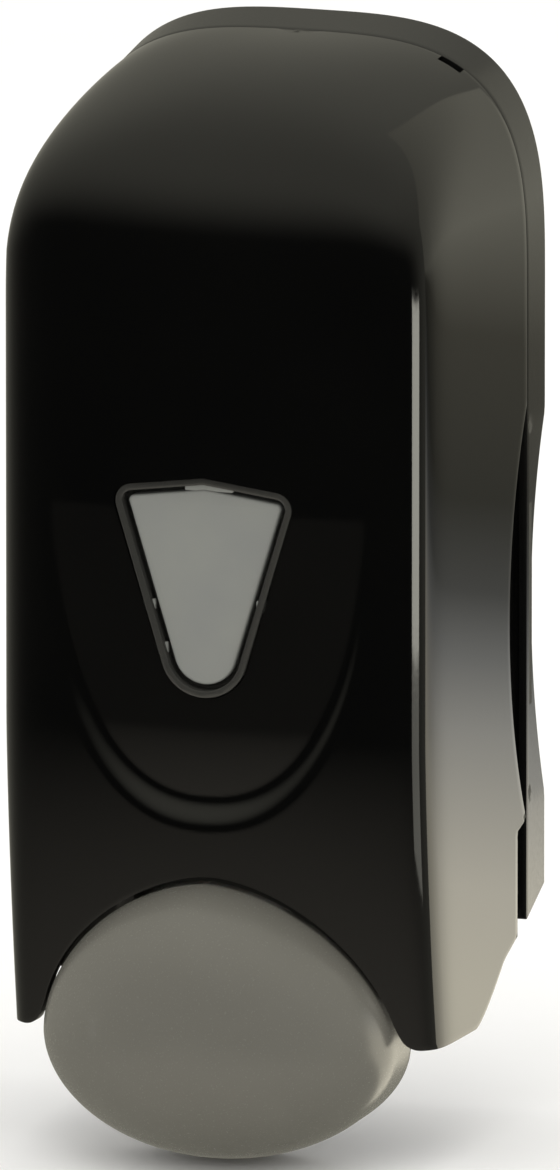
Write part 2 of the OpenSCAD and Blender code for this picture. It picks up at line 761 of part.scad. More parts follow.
module pump_cylinder() {
    color("whitesmoke") {
        pump_ring(pump_bore_r + 1.6, pump_bore_r, cyl_flange_z, cyl_top - cyl_flange_z);
        pump_ring(neck_r, pump_bore_r + 1.5, cyl_flange_z, cyl_flange_t);
        pump_ring(pump_bore_r + 1.6, 2, cyl_top - 0.01, 2);
        pump_ring(5.5, 3.6, cyl_top + 1.9, 6);
        pump_ring(pump_bore_r + 0.5, stem_r + pin_gap, cyl_flange_z, 1.8);
    }
}

module inlet_ball() {
    color("silver") translate([0, -pump_y, cyl_top + 2 + sqrt(9 - 4) + 0.05]) sphere(r = 3);
}

module pump_spring() {
    color("silver") translate([0, -pump_y, piston_z + piston_h + 0.02])
        coil(6.6, spring_wire, cyl_top - piston_z - piston_h - 0.05, 6);
}

module pump_piston() {
    color("gainsboro") difference() {
        pump_ring(pump_bore_r - 0.4, stem_r, piston_z, piston_h);
        pump_ring(pump_bore_r, pump_bore_r - 2, piston_z + 3, 2);
    }
}

module piston_seal() {
    color("dimgray") pump_ring(pump_bore_r - pin_gap, pump_bore_r - 2, piston_z + 3, 2);
}

nozzle_low = 44;

module pump_stem() {
    color("whitesmoke") {
        pump_ring(stem_r, stem_r - 1.6, flange_z + 1, piston_z + piston_h - flange_z - 1);
        pump_ring(flange_r, stem_r - 1.6, flange_z, 2);
        pump_ring(nozzle_r, nozzle_r - 2, flange_z - 14, 14.5);
    }
}

module foam_mesh() {
    color("gray") {
        pump_ring(nozzle_r - 2, nozzle_r - 3.5, flange_z - 12, 10);
        for (z = [flange_z - 11.5, flange_z - 3]) rod_z([0, -pump_y, z], nozzle_r - 3.4, 0.5);
    }
}

module nozzle_tip() {
    color([0.9, 0.9, 0.88]) translate([0, -pump_y, 0]) rotate_extrude()
        polygon([[nozzle_r - 4.5, nozzle_low], [nozzle_r - 2.6, nozzle_low], [nozzle_r, nozzle_low + 6],
                 [nozzle_r, flange_z - 14], [nozzle_r - 2, flange_z - 14], [nozzle_r - 4.5, nozzle_low + 4]]);
}

seated() back_plate();
seated() wall_pads();
seated() cover();
seated() window_lens();
seated() lens_retainer();
seated() retainer_screws();
seated() push_button();
seated() button_pin();
seated() button_spring();
seated() lift_fork();
seated() fork_screws();
seated() pump_shelf();
seated() shelf_screws();
seated() bottle();
seated() filler_neck();
seated() filler_cap();
seated() cap_seal();
seated() pump_nut();
seated() pump_gasket();
seated() pump_cylinder();
seated() inlet_ball();
seated() pump_spring();
seated() pump_piston();
seated() piston_seal();
seated() pump_stem();
seated() foam_mesh();
seated() nozzle_tip();
seated() lock_bolt();
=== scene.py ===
"""A wall mounted foam soap dispenser: its visible shells, finishes and studio.

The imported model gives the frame: where each body is, what it turns on and how
big it is. The shells that show are rebuilt here from the same form as the
design, in finer meshes, and every other piece keeps its shape and gets its
material.
"""

from __future__ import annotations

import json
import logging
import math
from dataclasses import dataclass
from enum import Enum
from typing import Callable, Iterable, Sequence

import bmesh  # noqa: E402
import bpy  # noqa: E402
from mathutils import Matrix, Vector  # noqa: E402

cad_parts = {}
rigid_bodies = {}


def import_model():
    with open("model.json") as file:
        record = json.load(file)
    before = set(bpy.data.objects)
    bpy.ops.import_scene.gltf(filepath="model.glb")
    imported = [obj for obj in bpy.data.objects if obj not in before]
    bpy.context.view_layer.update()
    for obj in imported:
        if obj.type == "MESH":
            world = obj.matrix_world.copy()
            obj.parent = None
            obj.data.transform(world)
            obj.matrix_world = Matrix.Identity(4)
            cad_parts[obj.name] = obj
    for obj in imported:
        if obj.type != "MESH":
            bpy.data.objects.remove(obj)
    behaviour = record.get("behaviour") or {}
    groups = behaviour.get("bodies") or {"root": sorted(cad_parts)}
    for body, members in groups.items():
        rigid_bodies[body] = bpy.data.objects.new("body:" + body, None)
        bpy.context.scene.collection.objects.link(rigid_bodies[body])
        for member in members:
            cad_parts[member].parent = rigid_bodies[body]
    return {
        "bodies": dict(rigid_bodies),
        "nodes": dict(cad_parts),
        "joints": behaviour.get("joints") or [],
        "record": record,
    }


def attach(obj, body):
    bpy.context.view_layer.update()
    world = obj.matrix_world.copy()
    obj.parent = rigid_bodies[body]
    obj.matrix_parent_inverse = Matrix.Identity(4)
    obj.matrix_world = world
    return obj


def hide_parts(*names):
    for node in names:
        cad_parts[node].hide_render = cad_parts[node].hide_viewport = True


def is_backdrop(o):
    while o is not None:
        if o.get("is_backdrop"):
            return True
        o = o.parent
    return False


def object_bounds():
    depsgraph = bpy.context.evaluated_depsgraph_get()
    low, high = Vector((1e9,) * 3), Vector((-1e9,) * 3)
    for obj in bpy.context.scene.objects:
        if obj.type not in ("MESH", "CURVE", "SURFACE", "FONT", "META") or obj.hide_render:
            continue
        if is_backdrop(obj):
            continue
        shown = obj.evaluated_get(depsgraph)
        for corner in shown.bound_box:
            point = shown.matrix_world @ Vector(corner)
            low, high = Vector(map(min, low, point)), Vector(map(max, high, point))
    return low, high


log = logging.getLogger("dispenser")

MM = 0.001
Pair = tuple[float, float]
Point = tuple[float, float, float]
Obj = bpy.types.Object
BMesh = bmesh.types.BMesh
Tree = bpy.types.NodeTree
Socket = bpy.types.NodeSocket


# ---- Form of the body, shared by all the shells


def clamp(value: float, low: float = 0.0, high: float = 1.0) -> float:
    """Limit a value to a range."""
    return max(low, min(high, value))


def smooth(value: float) -> float:
    """Ease a share from 0 to 1 with level ends."""
    s = clamp(value)
    return s * s * (3 - 2 * s)


def over(share: float, power: float) -> float:
    """Height of a rounded-over outline as a share of its full size.

    Args:
        share: how far along the outline, from 0 to 1.
        power: 2 for an ellipse, more for a squarer shoulder.

    Returns:
        The height there, from 1 down to 0.
    """
    return max(0.0, 1 - clamp(share) ** power) ** (1 / power)


@dataclass(frozen=True)
class BodyForm:
    """Outer form of the dispenser in millimetres, heights from its lowest point."""

    total_h: float = 284.0
    half_w: float = 61.0
    body_d: float = 97.0
    crown_h: float = 67.5
    dome_h: float = 47.0
    face_bulge: float = 9.0
    side_draft: float = 3.5
    chin_set_back: float = 10.0
    chin_start: float = 114.5
    chin_power: float = 1.5
    rim_d: float = 15.0
    seam_gap: float = 0.3
    top_fall: float = 2.5
    tip_z: float = 31.0
    heel_z: float = 59.0
    step_z: float = 45.0
    heel_run: float = 31.0
    tip_run: float = 21.0
    tip_power: float = 1.35
    heel_gap: float = 7.0
    heel_gap_z: float = 78.0
    scallop_r: float = 112.0
    scallop_d: float = 14.0
    scallop_z: float = 133.0
    arch_half_w: float = 48.0
    arch_top_z: float = 75.0
    arch_power: float = 1.75
    scoop_half_w: float = 42.0
    scoop_low_z: float = 96.0
    scoop_top_z: float = 172.0
    scoop_slope: float = 3.0
    scoop_power: float = 2.25
    scoop_inset: float = 1.0
    scoop_edge: float = 2.5
    scoop_ledge: float = 7.5
    tip_r: float = 5.5
    origin_h: float = 165.0
    crown_power: float = 3.3
    dome_power: float = 2.3
    edge_power: float = 20.0
    top_power: float = 2.4
    edge_rise: float = 18.0

    @property
    def seam_y(self) -> float:
        """Distance of the cover's back edge from the wall."""
        return self.rim_d + self.seam_gap

    @property
    def seam_top(self) -> float:
        """Height of the top where the cover begins."""
        return self.total_h - self.top_fall

    @property
    def crown_z(self) -> float:
        """Height at which the outline starts to round over."""
        return self.total_h - self.crown_h

    def half_width(self, z: float, top: float, inset: float = 0.0) -> float:
        """Half width of the body at height z, for an outline that ends at top."""
        share = (z - self.crown_z) / (top - inset - self.crown_z)
        return (self.half_w - inset) * over(share, self.crown_power)

    def front_depth(self, z: float) -> float:
        """Distance of the front from the wall on the centre line at height z."""
        start = self.seam_top - self.dome_h
        fall = max(0.0, (self.chin_start - z) / (self.chin_start - self.tip_z))
        rounded = over((z - start) / self.dome_h, self.dome_power)
        deep = self.seam_y + (self.body_d - self.seam_y) * rounded
        return deep - self.chin_set_back * fall**self.chin_power

    def plan_power(self, z: float) -> float:
        """Squareness of the cover's plan at height z."""
        start = self.crown_z + self.edge_rise
        s = clamp((z - start) / (self.seam_top - start))
        return self.top_power + (self.edge_power - self.top_power) * (1 - s) ** 2

    def cover_point(self, angle: float, z: float) -> Point:
        """Point of the cover's outside at height z.

        Args:
            angle: direction in radians, 0 at the right back edge, half a turn at the left one.
            z: height in millimetres.

        Returns:
            The point in millimetres, with its height still from the lowest point.
        """
        n = self.plan_power(z)
        c, s = math.cos(angle), math.sin(angle)
        r = (abs(c) ** n + abs(s) ** n) ** (-1 / n)
        w = self.half_width(z, self.seam_top) - self.side_draft * r * s
        d = self.front_depth(z) - self.seam_y
        bulge = self.face_bulge * d / (self.body_d - self.seam_y)
        return w * r * c, -(self.seam_y + max(0.0, d - bulge * (r * c) ** 2) * r * s), z

    def face_y(self, x: float, z: float) -> float:
        """The front's y at a place on it."""
        return -(self.front_depth(z) - self.face_bulge * (x / self.half_w) ** 2)

    def edge_z(self, depth: float) -> float:
        """Height of the body's bottom edge at a distance from the wall."""
        slope = (self.heel_z - self.step_z) / self.heel_run
        if depth <= self.heel_run:
            return self.heel_z - slope * depth
        share = clamp((depth - self.heel_run) / self.tip_run)
        return self.tip_z + (self.step_z - self.tip_z) * (1 - share) ** self.tip_power

    def arch_z(self, x: float) -> float:
        """Height of the opening for the button at x, with the tips beside it rounded."""
        share = clamp(abs(x) / self.arch_half_w)
        arch = self.tip_z + (self.arch_top_z - self.tip_z) * over(share, self.arch_power)
        turn = clamp((self.arch_half_w + self.tip_r - abs(x)) / self.tip_r)
        return max(arch, self.tip_z + self.tip_r * (1 - math.sqrt(1 - turn**2)))

    def back_edge(self, z: float) -> float:
        """Distance of the cover's back edge from the wall at height z."""
        edge = self.seam_y
        dz = abs(z - self.scallop_z)
        if dz < self.scallop_r:
            deep = self.scallop_d - self.scallop_r + math.sqrt(self.scallop_r**2 - dz**2)
            edge = max(edge, self.seam_y + deep)
        step = smooth((self.heel_gap_z + 0.8 - z) / 1.6)
        return max(edge, self.seam_y + self.heel_gap * step)

    def _reach(self, across: float, down: float) -> float:
        """How far out a place is on the scoop's rounded outline, 1 on the outline itself."""
        p = self.scoop_power
        return (abs(across) ** p + down**p) ** (1 / p)

    def scoop_depth(self, x: float, z: float) -> float:
        """Depth of the scoop round the window at a place on the front."""
        low = self.scoop_top_z - z
        floor = low * math.tan(math.radians(self.scoop_slope))
        if floor <= 0:
            return 0.0
        tall = self.scoop_top_z - self.scoop_low_z
        inner = self._reach(x / (self.scoop_half_w - self.scoop_inset), low / tall)
        outer = self._reach(x / (self.scoop_half_w + self.scoop_edge), low / (tall + self.scoop_ledge))
        if inner <= 1:
            return floor
        if outer >= 1:
            return 0.0
        return floor * smooth((1 - outer) / (1 - outer + (inner - 1)))

    def placed(self, point: Sequence[float]) -> Vector:
        """A point in millimetres moved to the shared frame in metres."""
        return Vector((point[0] * MM, point[1] * MM, (point[2] - self.origin_h) * MM))


# ---- Colours and materials


def linear(hex_colour: str) -> tuple[float, float, float, float]:
    """Turn an sRGB hex colour into linear values with full alpha."""
    parts = [int(hex_colour[i : i + 2], 16) / 255 for i in (1, 3, 5)]
    curve = (p / 12.92 if p <= 0.04045 else ((p + 0.055) / 1.055) ** 2.4 for p in parts)
    return (*curve, 1.0)


def add_node(tree: Tree, kind: str, inputs: dict | None = None, **settings: object) -> bpy.types.Node:
    """Add one shader node.

    Args:
        tree: the node tree it goes into.
        kind: the node's type name.
        inputs: values or output sockets by input name or index.
        settings: properties of the node itself.

    Returns:
        The new node.
    """
    node = tree.nodes.new(kind)
    for name, value in settings.items():
        setattr(node, name, value)
    for key, value in (inputs or {}).items():
        if isinstance(value, Socket):
            tree.links.new(value, node.inputs[key])
        else:
            node.inputs[key].default_value = value
    return node


def eased(tree: Tree, value: Socket, low: float, high: float) -> Socket:
    """Ease a socket's value from 0 at low to 1 at high."""
    span = {"Value": value, "From Min": low, "From Max": high}
    return add_node(tree, "ShaderNodeMapRange", span, interpolation_type="SMOOTHSTEP").outputs[0]


def mixed(tree: Tree, factor: Socket, first: object, second: object) -> Socket:
    """Mix two colours, each a socket or a value, by a factor."""
    sides = {"Factor": factor, "A": first, "B": second}
    return add_node(tree, "ShaderNodeMix", sides, data_type="RGBA").outputs["Result"]


@dataclass(frozen=True)
class Finish:
    """A material with grain: its colour, gloss and the small unevenness of its surface."""

    name: str
    colour: str
    tint: str
    roughness: float
    roughness_swing: float
    grain_mm: float
    grain_height_mm: float
    wave_mm: float = 40.0
    wave_height_mm: float = 0.0
    metallic: float = 0.0
    ior: float = 1.5
    coat: float = 0.0
    coat_roughness: float = 0.05
    transmission: float = 0.0
    subsurface: float = 0.0
    brushed: bool = False

    def build(self) -> bpy.types.Material:
        """Make the Blender material.

        Returns:
            The material, with its colour, roughness and bump from object space noise.
        """
        material = bpy.data.materials.new(self.name)
        material.use_nodes = True
        tree = material.node_tree
        tree.nodes.clear()
        place = add_node(tree, "ShaderNodeTexCoord").outputs["Object"]
        if self.brushed:
            stretch = {"Vector": place, "Scale": (0.08, 1.0, 1.0)}
            place = add_node(tree, "ShaderNodeMapping", stretch).outputs[0]
        grain, cloud = (
            add_node(tree, "ShaderNodeTexNoise", {"Vector": place, "Scale": 1 / (size * MM), **extra})
            for size, extra in (
                (self.grain_mm, {"Detail": 4.0, "Roughness": 0.6}),
                (self.wave_mm, {"Detail": 3.0}),
            )
        )
        colour = mixed(tree, cloud.outputs["Fac"], linear(self.colour), linear(self.tint))
        span = {
            "Value": grain.outputs["Fac"],
            "From Min": 0.3,
            "From Max": 0.7,
            "To Min": max(0.02, self.roughness - self.roughness_swing),
            "To Max": self.roughness + self.roughness_swing,
        }
        rough = add_node(tree, "ShaderNodeMapRange", span)
        under: dict[str, Socket] = {}
        for noise, height in ((grain, self.grain_height_mm), (cloud, self.wave_height_mm)):
            if height or noise is grain:
                relief = {"Height": noise.outputs["Fac"], "Distance": height * MM, "Strength": 1.0}
                bump = add_node(tree, "ShaderNodeBump", {**relief, **under})
                under = {"Normal": bump.outputs[0]}
        shader = add_node(
            tree,
            "ShaderNodeBsdfPrincipled",
            {
                "Base Color": colour,
                "Roughness": rough.outputs[0],
                **under,
                "Metallic": self.metallic,
                "IOR": self.ior,
                "Coat Weight": self.coat,
                "Coat Roughness": self.coat_roughness,
                "Transmission Weight": self.transmission,
                "Subsurface Weight": self.subsurface,
                "Subsurface Scale": 0.004,
            },
        )
        output = add_node(tree, "ShaderNodeOutputMaterial")
        tree.links.new(shader.outputs[0], output.inputs["Surface"])
        return material


# Injection moulded ABS from a polished mould: near black, mirror-like, with the
# faintest ripple of the mould in its reflections.
GLOSS_BLACK = Finish(
    "gloss_black_abs", "#050505", "#090908", 0.06, 0.025, 1.2, 0.0006, 45.0, 0.01, ior=1.53
)
# The same ABS from a plainer mould: the back plate is a little duller.
PLATE_BLACK = Finish("black_abs", "#0B0B0B", "#11110F", 0.2, 0.05, 0.8, 0.003, ior=1.53)
# Grey ABS with a fine satin grain that softens its highlights.
BUTTON_GREY = Finish("grey_abs", "#64625A", "#6B6961", 0.24, 0.05, 0.5, 0.003, 30.0, 0.01, ior=1.52)
# Clear polycarbonate frosted on its inner face: an even pale grey with a polished skin.
LENS_PANE = Finish("frosted_polycarbonate", "#7C7D7A", "#85867F", 0.2, 0.04, 0.9, 0.001, 14.0, ior=1.58)
# Smoked clear polycarbonate: dark, glassy and a little see-through at its edges.
LENS_SMOKE = Finish(
    "smoked_clear", "#343431", "#3E3D39", 0.1, 0.03, 0.9, 0.001, transmission=0.2, ior=1.58
)
# Blow moulded polyethylene: milky, waxy and slightly uneven.
MILKY = Finish(
    *("milky_polyethylene", "#DCDCD4", "#E6E6E0", 0.42, 0.06, 2.5, 0.03, 25.0, 0.15),
    transmission=0.25,
    subsurface=0.3,
)
# Moulded polypropylene, white and waxy.
WHITE_PP = Finish("white_polypropylene", "#DAD9D2", "#E2E1DB", 0.4, 0.05, 0.7, 0.006, subsurface=0.1)
# Machined acetal: whiter, denser and glossier than polypropylene.
ACETAL = Finish("white_acetal", "#E3E0D6", "#EAE8E0", 0.28, 0.04, 0.4, 0.003)
# Drawn stainless wire and pan-head screws: fine lines along the draw.
STEEL = Finish(
    "stainless_steel", "#B9B8B4", "#C6C5C1", 0.28, 0.08, 0.25, 0.003, metallic=1.0, brushed=True
)
# Moulded nitrile seals: matte and nearly black.
RUBBER = Finish("seal_rubber", "#161615", "#1D1D1B", 0.75, 0.08, 0.4, 0.01)
# Closed-cell foam tape: tiny cells that show as a matte speckle.
FOAM_TAPE = Finish("foam_tape", "#3A3A38", "#474744", 0.9, 0.05, 0.9, 0.08)
# Woven nylon mesh, drawn as coarse as it needs to show.
NYLON = Finish("nylon_mesh", "#C9C8C2", "#D8D7D2", 0.6, 0.1, 0.5, 0.05)
# Pale matte paper sweep of the studio.
PAPER = Finish("studio_paper", "#F4F3F0", "#F7F6F4", 0.9, 0.03, 3.0, 0.0)


class Materials:
    """Every finish, built once and handed out by slot name."""

    FINISHES = (
        *(GLOSS_BLACK, PLATE_BLACK, BUTTON_GREY, LENS_PANE, LENS_SMOKE, MILKY, WHITE_PP),
        *(ACETAL, STEEL, RUBBER, FOAM_TAPE, NYLON, PAPER),
    )

    def __init__(self) -> None:
        """Build all the materials."""
        self._made = {finish.name: finish.build() for finish in self.FINISHES}

    def dress(self, obj: Obj, name: str) -> None:
        """Give an object one material in place of what it has.

        Args:
            obj: the object to dress.
            name: the finish's name, which is also the record's slot.
        """
        obj.data.materials.clear()
        obj.data.materials.append(self._made[name])


# ---- Mesh helpers


def shade(bm: BMesh, limit_deg: float = 35.0) -> None:
    """Shade smooth, with edges sharper than the limit kept crisp."""
    bm.normal_update()
    limit = math.radians(limit_deg)
    for f in bm.faces:
        f.smooth = True
    for e in bm.edges:
        e.smooth = not (len(e.link_faces) == 2 and e.calc_face_angle(0.0) > limit)


def finish_mesh(name: str, bm: BMesh, limit_deg: float = 35.0) -> Obj:
    """Turn a bmesh into an object at the origin.

    Args:
        name: the object's name.
        bm: the mesh, in metres in the shared frame. It is freed.
        limit_deg: edges sharper than this stay crisp.

    Returns:
        The new object, linked to the scene.
    """
    shade(bm, limit_deg)
    mesh = bpy.data.meshes.new(name)
    bm.to_mesh(mesh)
    bm.free()
    obj = bpy.data.objects.new(name, mesh)
    bpy.context.scene.collection.objects.link(obj)
    return obj


def mapped_grid(columns: int, rows: int, place: Callable[[float, float], Vector]) -> BMesh:
    """Make a sheet by bending a flat grid.

    Args:
        columns: squares along the first direction.
        rows: squares along the second direction.
        place: gives the point for two shares from 0 to 1.

    Returns:
        The bent sheet.
    """
    bm = bmesh.new()
    bmesh.ops.create_grid(bm, x_segments=columns, y_segments=rows, size=1.0)
    for v in bm.verts:
        v.co = place((v.co.x + 1) / 2, (v.co.y + 1) / 2)
    return bm


def shift(bm: BMesh, by: Sequence[float]) -> None:
    """Move a whole mesh."""
    bmesh.ops.translate(bm, verts=bm.verts, vec=by)


def stretch(bm: BMesh, by: Sequence[float]) -> None:
    """Scale a whole mesh about the origin."""
    bmesh.ops.scale(bm, verts=bm.verts, vec=by)


def face_out(bm: BMesh) -> None:
    """Turn every face outwards."""
    bmesh.ops.recalc_face_normals(bm, faces=bm.faces)


def face_front(bm: BMesh) -> None:
    """Turn the faces of an open sheet so that its foremost one faces the front."""
    face_out(bm)
    foremost = min(bm.faces, key=lambda f: f.calc_center_median().y)
    if foremost.normal.y > 0:
        bmesh.ops.reverse_faces(bm, faces=bm.faces)


def fill_holes(bm: BMesh) -> None:
    """Close a sheet's open edges with flat faces."""
    bmesh.ops.holes_fill(bm, edges=[e for e in bm.edges if e.is_boundary], sides=0)


def close_up(bm: BMesh, reach_mm: float = 0.002) -> None:
    """Merge points that coincide and drop faces and edges of no size."""
    bmesh.ops.remove_doubles(bm, verts=bm.verts, dist=reach_mm * MM)
    bmesh.ops.dissolve_degenerate(bm, edges=bm.edges, dist=reach_mm * MM)


def bake(obj: Obj) -> None:
    """Apply all of an object's modifiers to its mesh."""
    graph = bpy.context.evaluated_depsgraph_get()
    mesh = bpy.data.meshes.new_from_object(obj.evaluated_get(graph))
    old = obj.data
    obj.modifiers.clear()
    obj.data = mesh
    bpy.data.meshes.remove(old)


def thicken(obj: Obj, wall_mm: float, outward: float = -1.0) -> None:
    """Give a sheet a wall on its inner side."""
    mod = obj.modifiers.new("wall", "SOLIDIFY")
    mod.thickness = wall_mm * MM
    mod.offset = outward
    mod.use_even_offset = True
    mod.use_quality_normals = True


def soften(obj: Obj, width_mm: float, segments: int = 2, limit_deg: float = 45.0) -> None:
    """Round the sharp edges of an object a little."""
    mod = obj.modifiers.new("edges", "BEVEL")
    mod.width = width_mm * MM
    mod.segments = segments
    mod.limit_method = "ANGLE"
    mod.angle_limit = math.radians(limit_deg)
    mod.use_clamp_overlap = True
    mod.harden_normals = False


def carve(obj: Obj, *cutters: Obj) -> None:
    """Cut the cutters out of an object and delete them."""
    for cutter in cutters:
        mod = obj.modifiers.new("cut", "BOOLEAN")
        mod.operation = "DIFFERENCE"
        mod.solver = "EXACT"
        mod.object = cutter
    bake(obj)
    for cutter in cutters:
        bpy.data.objects.remove(cutter)


def keep(obj: Obj, within: Obj) -> None:
    """Keep only what lies inside another object, and delete that one."""
    mod = obj.modifiers.new("keep", "BOOLEAN")
    mod.operation = "INTERSECT"
    mod.solver = "EXACT"
    mod.object = within
    bake(obj)
    bpy.data.objects.remove(within)


def reshade(obj: Obj, limit_deg: float = 35.0) -> None:
    """Shade an object again after its modifiers are applied."""
    bm = bmesh.new()
    bm.from_mesh(obj.data)
    shade(bm, limit_deg)
    bm.to_mesh(obj.data)
    bm.free()


def merge(target: Obj, extras: Iterable[Obj]) -> None:
    """Add other objects' meshes to a piece and delete those objects."""
    bm = bmesh.new()
    bm.from_mesh(target.data)
    for extra in extras:
        bm.from_mesh(extra.data)
        bpy.data.objects.remove(extra)
    bm.to_mesh(target.data)
    bm.free()


class Axis(Enum):
    """Row axis that a round piece runs along, as the turn that brings +Z onto it."""

    X = Matrix.Rotation(math.pi / 2, 3, "Y")
    Y = Matrix.Rotation(-math.pi / 2, 3, "X")


def ease_edges(bm: BMesh, edges: list[bmesh.types.BMEdge], width_mm: float) -> None:
    """Round some edges of a mesh, unless the width is nothing."""
    if width_mm:
        width = width_mm * MM
        bmesh.ops.bevel(
            bm, geom=edges, offset=width, segments=2, profile=0.5, affect="EDGES", material=-1
        )


def rod(
    form: BodyForm,
    start: Point,
    radius: float,
    length: float,
    axis: Axis,
    bevel: float = 0.3,
    sides: int = 48,
) -> Obj:
    """A round bar with softened ends.

    Args:
        form: gives the placing.
        start: centre of its first end in millimetres.
        radius: its radius in millimetres.
        length: its length in millimetres.
        axis: the direction it runs in.
        bevel: size of the softened edge in millimetres.
        sides: facets round it.

    Returns:
        The bar.
    """
    bm = bmesh.new()
    bmesh.ops.create_cone(
        bm, cap_ends=True, segments=sides, radius1=radius * MM, radius2=radius * MM, depth=length * MM
    )
    shift(bm, (0, 0, length * MM / 2))
    rims = [e for e in bm.edges if len({round(v.co.z, 6) for v in e.verts}) == 1]
    ease_edges(bm, rims, bevel)
    bmesh.ops.rotate(bm, verts=bm.verts, matrix=axis.value)
    shift(bm, form.placed(start))
    return finish_mesh("rod", bm)


def box(form: BodyForm, low: Point, high: Point, bevel: float = 0.4) -> Obj:
    """A block between two corners in millimetres, with softened edges."""
    bm = bmesh.new()
    bmesh.ops.create_cube(bm, size=1.0)
    size = [(high[i] - low[i]) * MM for i in range(3)]
    stretch(bm, size)
    middle = [(high[i] + low[i]) / 2 for i in range(3)]
    shift(bm, form.placed(middle))
    ease_edges(bm, bm.edges[:], bevel)
    return finish_mesh("box", bm)


def twin_boxes(
    form: BodyForm,
    sides: Pair,
    low: Pair,
    high: Pair,
    bevel: float,
) -> list[Obj]:
    """Two mirrored blocks.

    Args:
        form: gives the placing.
        sides: the nearest and farthest distance from the middle, in millimetres.
        low: y and height of the low corner.
        high: y and height of the high corner.
        bevel: size of the softened edges in millimetres.

    Returns:
        The right block and the left one.
    """
    blocks = []
    for side in (1, -1):
        x0, x1 = sorted(side * x for x in sides)
        blocks.append(box(form, (x0, *low), (x1, *high), bevel))
    return blocks


def slab(points: Sequence[Vector], push: Vector) -> BMesh:
    """Push a closed outline through space into a solid.

    Args:
        points: the outline in metres.
        push: how far and where it is pushed.

    Returns:
        The solid, its faces pointing outwards.
    """
    bm = bmesh.new()
    face = bm.faces.new([bm.verts.new(p) for p in points])
    new = bmesh.ops.extrude_face_region(bm, geom=[face])["geom"]
    bmesh.ops.translate(bm, verts=[v for v in new if isinstance(v, bmesh.types.BMVert)], vec=push)
    face_out(bm)
    return bm


# ---- Sub-assemblies


@dataclass
class WindowOutline:
    """Rounded triangle of the level window, in millimetres."""

    half_w: float = 19.0
    top_r: float = 5.0
    low_r: float = 12.0
    top_z: float = 173.0
    crown: float = 2.5
    low_z: float = 134.5

    def points(self, grow: float, count: int = 96) -> list[Pair]:
        """Outline grown by some millimetres.

        Args:
            grow: how much larger than the opening, or smaller if negative.
            count: points on its round stretches.

        Returns:
            The outline's x and z, all the way round.
        """
        rounds = (
            (-self.half_w, self.top_z, self.top_r),
            (self.half_w, self.top_z, self.top_r),
            (0.0, self.top_z + self.crown, self.top_r),
            (0.0, self.low_z, self.low_r),
        )
        outline = []
        for k in range(count):
            a = 2 * math.pi * k / count
            nx, nz = math.cos(a), math.sin(a)
            cx, cz, r = max(rounds, key=lambda c: c[0] * nx + c[1] * nz + c[2])
            outline.append((cx + (r + grow) * nx, cz + (r + grow) * nz))
        return outline

    def prism(self, form: BodyForm, grow: float, y_front: float, y_back: float) -> Obj:
        """A solid of the outline between two distances from the wall."""
        points = [form.placed((x, -y_front, z)) for x, z in self.points(grow)]
        return finish_mesh("prism", slab(points, Vector((0, (y_front - y_back) * MM, 0))))


